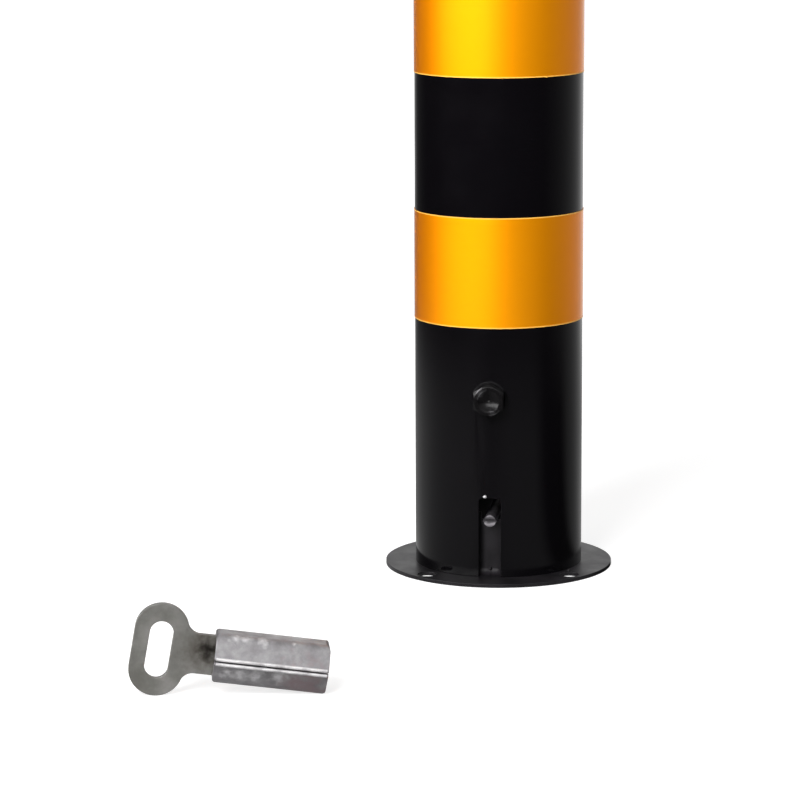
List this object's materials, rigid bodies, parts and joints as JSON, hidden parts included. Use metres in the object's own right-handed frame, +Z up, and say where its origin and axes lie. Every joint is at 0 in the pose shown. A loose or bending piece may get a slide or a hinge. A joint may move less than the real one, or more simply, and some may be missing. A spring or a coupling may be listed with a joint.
{
  "type": "removable warning post",
  "caption": "Striped steel warning post that drops over the collar of a bolted ground base, locks on its cross bar with a swing hook and opens with a loose box key.",
  "frame": {"origin": "centre of the ground base's underside, where the anchor holes' axis meets the ground", "axes": "+Z up along the post, -Y towards the side with the lock, +X to the right of it"},
  "size_m": [0.2584, 0.4532, 0.6495],
  "materials": {
    "post_paint": "gloss black powder coat",
    "base_paint": "satin black paint",
    "film": "gloss yellow reflective film",
    "bar_steel": "thinly painted ribbed steel bar",
    "lock_steel": "black painted steel, worn at the corners",
    "zinc_steel": "dull zinc plate",
    "key_steel": "bare folded steel with hammer marks and a weld scorch"
  },
  "bodies": {
    "base": {"base_flange": "base_paint", "base_collar": "base_paint", "collar_weld": "base_paint", "cross_bar": "bar_steel", "bar_welds": "base_paint", "key_socket": "key_steel", "key_handle": "key_steel", "key_weld": "key_steel"},
    "post": {"post_tube": "post_paint", "top_cap": "post_paint", "cap_weld": "post_paint", "band_lower": "film", "band_middle": "film", "band_upper": "film", "lock_bush": "post_paint", "bush_weld": "post_paint"},
    "lock": {"lock_spindle": "lock_steel", "spring_washer": "zinc_steel", "lock_hook": "zinc_steel", "hook_washer": "zinc_steel", "hook_nut": "zinc_steel"}
  },
  "joints": [
    {"name": "post_lift", "type": "slide", "parent": "base", "child": "post", "axis": [0, 0, 1], "range_m": [0, 0.08]},
    {"name": "lock_turn", "type": "hinge", "parent": "post", "child": "lock", "pos_m": [0, 0, 0.1245], "axis": [0, 1, 0], "range_deg": [0, 12.5]}
  ]
}
